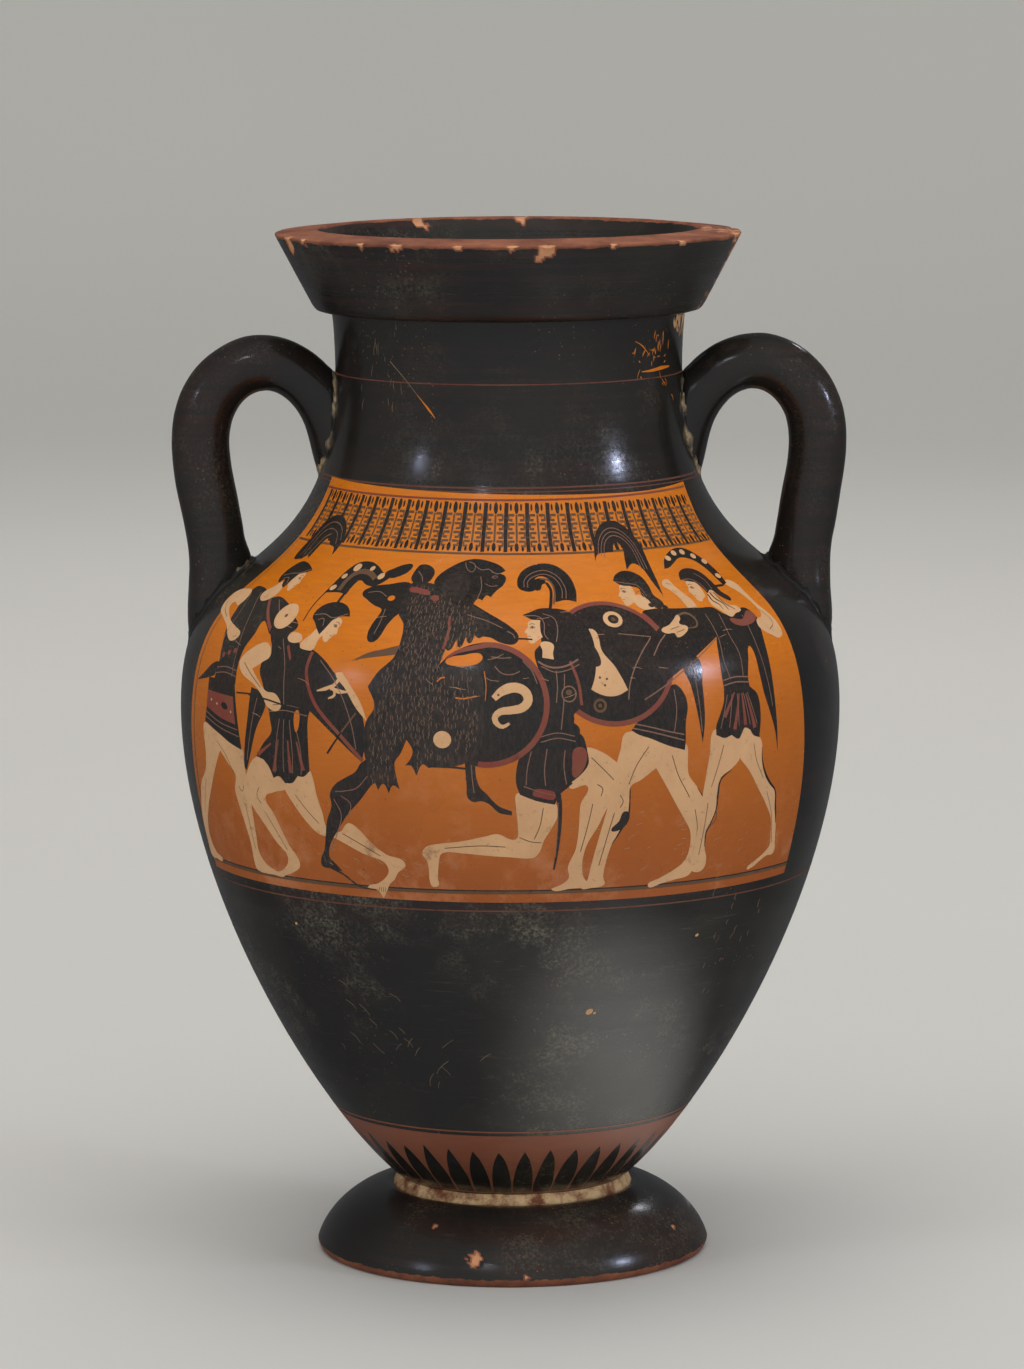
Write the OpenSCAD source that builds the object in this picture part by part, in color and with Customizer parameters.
// Two-handled belly amphora, thrown in sections and luted together.
// Every thrown or pulled piece is its own solid, as on the potter's bench.
// Units are millimetres. +Z is up, and the origin is the centre of the foot's resting plane.

/* [Foot] */
// Radius of the foot at its sharp edge
foot_r = 78.5; // [60:0.5:95]
// Height of the reserved edge below the foot's widest line
foot_edge_h = 3.5; // [2:0.5:6]
// Height of the joint between foot and body wall
foot_h = 29.5; // [24:0.5:36]
// Radius of the joint between foot and body wall
stem_r = 45; // [38:0.5:50]

/* [Body] */
// Greatest radius of the belly
belly_r = 131.3; // [120:0.1:140]
// Height of the greatest radius
belly_z = 220; // [210:1:230]
// Thickness of the thrown wall
wall = 7; // [5:0.5:9]
// Height of the seam between the lower and the upper body section
belly_seam_z = 150; // [140:1:156]

/* [Shoulder and neck] */
// Radius where the convex shoulder turns into the concave neck
shoulder_r = 100.5; // [95:0.5:106]
// Height of that turning point
shoulder_z = 279.5; // [276:0.5:284]
// Slope of the wall at the turning point, from the horizontal
shoulder_slope = 50; // [45:1:55]
// Narrowest radius of the neck
neck_r = 68.7; // [64:0.1:74]
// Height of the narrowest neck
neck_z = 355; // [350:1:360]
// Height of the seam between the upper body and the neck
neck_seam_z = 315; // [314:1:322]

/* [Mouth] */
// Height of the whole vessel
total_h = 410; // [400:1:420]
// Radius of the lip's upper outer edge
lip_r = 92.1; // [86:0.1:98]
// Radius of the lip's lower outer corner
lip_low_r = 77.2; // [74:0.1:82]
// Height of the underside of the lip
lip_low_z = 377.5; // [375:0.5:382]
// Radius of the mouth's inner edge
mouth_r = 75.9; // [70:0.1:80]
// How far the lip's top falls from its inner to its outer edge
lip_fall = 1.6; // [0.5:0.1:3]

/* [Handles] */
// Radius of the round handle
handle_r = 11.5; // [10:0.1:12]
// Farthest reach of a handle's outside from the vessel's axis
handle_reach = 134; // [132:0.1:136]
// Height of the top of a handle's outside
handle_top = 367.6; // [366:0.1:370]

/* [Hidden] */
$fn = 96;
BENDS = 22;          // straight steps that stand for one curved stretch of a profile
HANDLE_SIDES = 28;
HANDLE_STEPS = 30;
CAP_RINGS = 5;       // rings across the face where a handle meets the wall
ROOT_STEPS = 6;      // rings along the swelling run into the wall
SLIP = 0.08;         // layer of slip between a handle's end and the wall
luting_rise = 3;     // how far the luting climbs up the handle
luting_w = 3;        // how far it spreads on the wall
luting_gap = 0.25;   // slip between the luting and the handle

// ---- curves ----

function bezier(a, b, c, d, t) =
    pow(1 - t, 3) * a + 3 * pow(1 - t, 2) * t * b + 3 * (1 - t) * t * t * c + pow(t, 3) * d;

function bezier_slope(a, b, c, d, t) =
    3 * pow(1 - t, 2) * (b - a) + 6 * (1 - t) * t * (c - b) + 3 * t * t * (d - c);

// A curve is [start, handle, handle, end]; these give its point and its direction at a share t.
function along(k, t) = bezier(k[0], k[1], k[2], k[3], t);
function unit(v) = v / norm(v);
function way(k, t) = unit(bezier_slope(k[0], k[1], k[2], k[3], t));
function reversed(list) = [for (i = [len(list) - 1 : -1 : 0]) list[i]];

// The curved stretches of the wall, in radius and height.
wall_curves = [
    [[stem_r, foot_h], [stem_r + 34, foot_h + 28], [belly_r, belly_z - 71], [belly_r, belly_z]],
    [[belly_r, belly_z], [belly_r, belly_z + 40],
     [shoulder_r + 19 * sin(shoulder_slope), shoulder_z - 19 * cos(shoulder_slope)],
     [shoulder_r, shoulder_z]],
    [[shoulder_r, shoulder_z],
     [shoulder_r - 20 * sin(shoulder_slope), shoulder_z + 20 * cos(shoulder_slope)],
     [neck_r, neck_z - 46], [neck_r, neck_z]],
    [[neck_r, neck_z], [neck_r, neck_z + 8], [neck_r + 0.5, lip_low_z - 6],
     [neck_r + 1.2, lip_low_z]]
];

// Points of the wall at a depth below its outer face, from the stem to the lip.
function wall_points(depth) = [
    for (c = [0 : len(wall_curves) - 1], i = [c == 0 ? 0 : 1 : BENDS])
        let (k = wall_curves[c], t = i / BENDS, s = way(k, t))
        along(k, t) + depth * [-s[1], s[0]]
];
outer_wall = wall_points(0);
inner_wall = wall_points(wall);

// The radius of a run of points at height z, and the part of the run between two heights.
function radius_at(run, z) = lookup(z, [for (p = run) [p[1], p[0]]]);
function between(run, low, high) = concat(
    [[radius_at(run, low), low]],
    [for (p = run) if (p[1] > low + 0.2 && p[1] < high - 0.2) p],
    [[radius_at(run, high), high]]
);

// A seam leans outwards and down, so that the upper section sits over the lower one.
seam_lean = 3;
function section(low_out, high_out, low_in, high_in) = concat(
    between(outer_wall, low_out, high_out), reversed(between(inner_wall, low_in, high_in))
);

module turned(outline) rotate_extrude() polygon(outline);

// ---- foot ----

foot_recess_h = 17;      // height of the hollow under the foot
foot_ring_w = 14;        // width of the ring that the vessel stands on
foot_top_r = 50;         // where the foot's rounded top turns down to the fillet
foot_top_z = 26.5;
fillet_h = 5;
peg_r = 36;              // the flat on which the body stands inside the fillet
floor_z = 36;            // inside floor of the body

foot_crown = [[foot_r, foot_edge_h], [foot_r - 3.5, 15], [62, foot_top_z - 1], [foot_top_r, foot_top_z]];

module foot() color([0.07, 0.06, 0.06]) turned(concat(
    [[foot_r - foot_ring_w, 0], [foot_r - 2.2, 0]],
    [for (i = [0 : BENDS]) along(foot_crown, i / BENDS)],
    [[stem_r - 1, foot_h - fillet_h], [peg_r, foot_h - fillet_h], [peg_r, foot_h], [0, foot_h],
     [0, foot_recess_h]],
    [for (i = [1 : 7]) let (t = i / 8) [(foot_r - foot_ring_w) * t, foot_recess_h * (1 - t * t)]]
));

// The ring of clay that binds the body to its foot.
module foot_joint_fillet() color([0.86, 0.72, 0.52]) turned([
    [peg_r, foot_h - fillet_h], [stem_r - 1, foot_h - fillet_h], [stem_r + 1.6, foot_h - fillet_h + 1.4],
    [stem_r + 1.4, foot_h - 1.2], [stem_r, foot_h], [peg_r, foot_h]
]);

// ---- body sections ----

module lower_body() color([0.08, 0.07, 0.07]) turned(concat(
    [[0, foot_h]],
    between(outer_wall, foot_h, belly_seam_z),
    reversed(between(inner_wall, floor_z + 8, belly_seam_z + seam_lean)),
    [[radius_at(inner_wall, floor_z + 8) * 0.72, floor_z + 1.5], [0, floor_z]]
));

module upper_body() color([0.80, 0.42, 0.14]) turned(
    section(belly_seam_z, neck_seam_z, belly_seam_z + seam_lean, neck_seam_z + seam_lean)
);

module neck() color([0.10, 0.08, 0.07]) turned(
    section(neck_seam_z, lip_low_z, neck_seam_z + seam_lean, lip_low_z)
);

// A coil of clay pressed over a seam from inside, seam_z being the seam's height on the inner wall.
module seam_coil(seam_z) {
    reach = 6;
    bulge = 2.6;
    face = between(inner_wall, seam_z - reach, seam_z + reach);
    color([0.62, 0.36, 0.20]) turned(concat(face, [
        for (i = [1 : 7]) let (t = i / 8, z = seam_z + reach * cos(180 * t))
            [radius_at(face, z) - bulge * sin(180 * t), z]
    ]));
}

// ---- mouth ----

lip_top_z = total_h - lip_fall;
mouth_curve = [
    [mouth_r, total_h], [mouth_r - 5, total_h - 13],
    [radius_at(inner_wall, lip_low_z) + 1, lip_low_z + 14], [radius_at(inner_wall, lip_low_z), lip_low_z]
];

function mouth_point(t) = along(mouth_curve, t);

module mouth() color([0.10, 0.09, 0.08]) turned(concat(
    [[radius_at(outer_wall, lip_low_z), lip_low_z], [lip_low_r - 1.6, lip_low_z + 0.7],
     [lip_low_r - 0.3, lip_low_z + 1.5], [lip_low_r + 0.6, lip_low_z + 3]],
    [[lip_r, lip_top_z - 0.6], [lip_r - 0.6, lip_top_z]],
    [for (i = [0 : 12]) mouth_point(i / 12)]
));

module mouth_seam_coil() {
    reach = 5;
    bulge = 2;
    low = between(inner_wall, lip_low_z - reach, lip_low_z);
    high = [for (i = [11 : -1 : 9]) mouth_point(i / 12)];
    face = concat(low, high);
    top = face[len(face) - 1][1];
    bottom = face[0][1];
    color([0.12, 0.10, 0.09]) turned(concat(face, [
        for (i = [1 : 7]) let (t = i / 8, z = (top + bottom) / 2 + (top - bottom) / 2 * cos(180 * t))
            [radius_at(face, z) - bulge * sin(180 * t), z]
    ]));
}

// ---- handles ----

// The handle's centreline in radius and height: over the top, and down to the shoulder.
handle_out = handle_reach - handle_r;
handle_crest = handle_top - handle_r + 0.5;
handle_curves = [
    [[69, handle_crest - 25.5], [79.3, handle_crest + 1.7], [96.5, handle_crest], [98, handle_crest]],
    [[98, handle_crest], [108, handle_crest], [handle_out, 346.5], [handle_out, 325]],
    [[handle_out, 325], [handle_out, 310], [116, 292], [115.5, 272]]
];
function handle_stretch(u) = min(len(handle_curves) - 1, floor(u * len(handle_curves)));
function handle_share(u) = u * len(handle_curves) - handle_stretch(u);
function handle_point(u) = along(handle_curves[handle_stretch(u)], handle_share(u));
function handle_way(u) = way(handle_curves[handle_stretch(u)], handle_share(u));

// The handle is a little thinner where it springs from the neck.
function handle_size(u) = handle_r - 1.4 * pow(max(0, 1 - u / 0.65), 2);

// One ring of the handle at a share of its length. Its side 0 faces the gap under the handle.
function handle_ring(u) = let (p = handle_point(u), w = handle_way(u), r = handle_size(u))
    [for (j = [0 : HANDLE_SIDES - 1]) let (a = 360 * j / HANDLE_SIDES)
        [p[0] + r * cos(a) * w[1], r * sin(a), p[1] - r * cos(a) * w[0]]];

// Each root: where the free handle ends, its tall oval on the wall, and the way it leaves the wall.
root_at = [0.1, 0.915];                   // shares of the handle's length
root_oval = [[332, 20, 12], [262.5, 15.5, 13.5]];       // height of the centre, half height, half width
root_way = [[0.35, 0, 0.94], [0.12, 0, 0.99]];
root_turn = [-1, 1];                      // the gap side is low on the neck and high on the shoulder

function oval_point(root, share, grow, a) = let (
    oval = root_oval[root],
    z = oval[0] + root_turn[root] * (oval[1] * share + grow) * cos(a),
    y = (oval[2] * share + grow) * sin(a),
    r = radius_at(outer_wall, z) + SLIP
) [sqrt(r * r - y * y), y, z];

// A point on the swelling root, from the wall at share 0 to the free handle at share 1.
function root_point(root, j, share, grow = 0) = let (
    a = 360 * j / HANDLE_SIDES,
    on_wall = oval_point(root, 1, grow, a),
    p = handle_point(root_at[root]),
    ring = handle_ring(root_at[root])[j],
    free = ring + grow * unit(ring - [p[0], 0, p[1]]),
    w = handle_way(root_at[root]),
    back = (root == 0 ? -1 : 1) * [w[0], 0, w[1]],
    reach = 0.4 * norm(free - on_wall)
) bezier(on_wall, on_wall + reach * root_way[root], free + reach * back, free, share);

function root_rings(root) = concat(
    [for (k = [1 : CAP_RINGS - 1])
        [for (j = [0 : HANDLE_SIDES - 1]) oval_point(root, k / CAP_RINGS, 0, 360 * j / HANDLE_SIDES)]],
    [for (k = [0 : ROOT_STEPS - 1])
        [for (j = [0 : HANDLE_SIDES - 1]) root_point(root, j, k / ROOT_STEPS)]]
);

module handle() {
    rings = concat(
        root_rings(0),
        [for (i = [0 : HANDLE_STEPS])
            handle_ring(root_at[0] + (root_at[1] - root_at[0]) * i / HANDLE_STEPS)],
        reversed(root_rings(1))
    );
    n = HANDLE_SIDES;
    count = len(rings);
    points = concat([oval_point(0, 0, 0, 0)], [for (r = rings, p = r) p], [oval_point(1, 0, 0, 0)]);
    sides = [for (k = [0 : count - 2], j = [0 : n - 1]) let (
            a = 1 + k * n + j, b = 1 + k * n + (j + 1) % n, c = b + n, d = a + n
        ) each [[a, b, c], [a, c, d]]];
    start_cap = [for (j = [0 : n - 1]) [0, 1 + (j + 1) % n, 1 + j]];
    end_cap = [for (j = [0 : n - 1]) let (base = 1 + (count - 1) * n)
        [base + j, base + (j + 1) % n, 1 + count * n]];
    color([0.09, 0.07, 0.06]) polyhedron(points, concat(start_cap, sides, end_cap));
}

// The clay pressed round a root: it stands on the wall and leans on the handle.
module luting(root) {
    n = HANDLE_SIDES;
    points = [for (j = [0 : n - 1]) let (
        a = 360 * j / n,
        on_wall = oval_point(root, 1, luting_gap, a),
        free = root_point(root, j, 1),
        rise = min(0.5, luting_rise / norm(free - on_wall)),
        top = root_point(root, j, rise, luting_gap),
        rim = oval_point(root, 1, luting_w, a),
        hollow = on_wall * 0.3 + (top + rim) * 0.35
    ) each [on_wall, top, hollow, rim]];
    faces = [for (j = [0 : n - 1], k = [0 : 3]) let (
            next = (j + 1) % n,
            a = 4 * j + k, b = 4 * j + (k + 1) % 4, c = 4 * next + (k + 1) % 4, d = 4 * next + k
        ) each (root == 0 ? [[a, b, c], [a, c, d]] : [[c, b, a], [d, c, a]])];
    color([0.55, 0.50, 0.42]) polyhedron(points, faces);
}

module handle_left() mirror([1, 0, 0]) handle();
module handle_right() handle();
module luting_left_neck() mirror([1, 0, 0]) luting(0);
module luting_left_shoulder() mirror([1, 0, 0]) luting(1);
module luting_right_neck() luting(0);
module luting_right_shoulder() luting(1);

foot();
foot_joint_fillet();
lower_body();
seam_coil(belly_seam_z + seam_lean);  // belly_seam_coil
upper_body();
seam_coil(neck_seam_z + seam_lean);  // neck_seam_coil
neck();
mouth_seam_coil();
mouth();
handle_left();
handle_right();
luting_left_neck();
luting_left_shoulder();
luting_right_neck();
luting_right_shoulder();
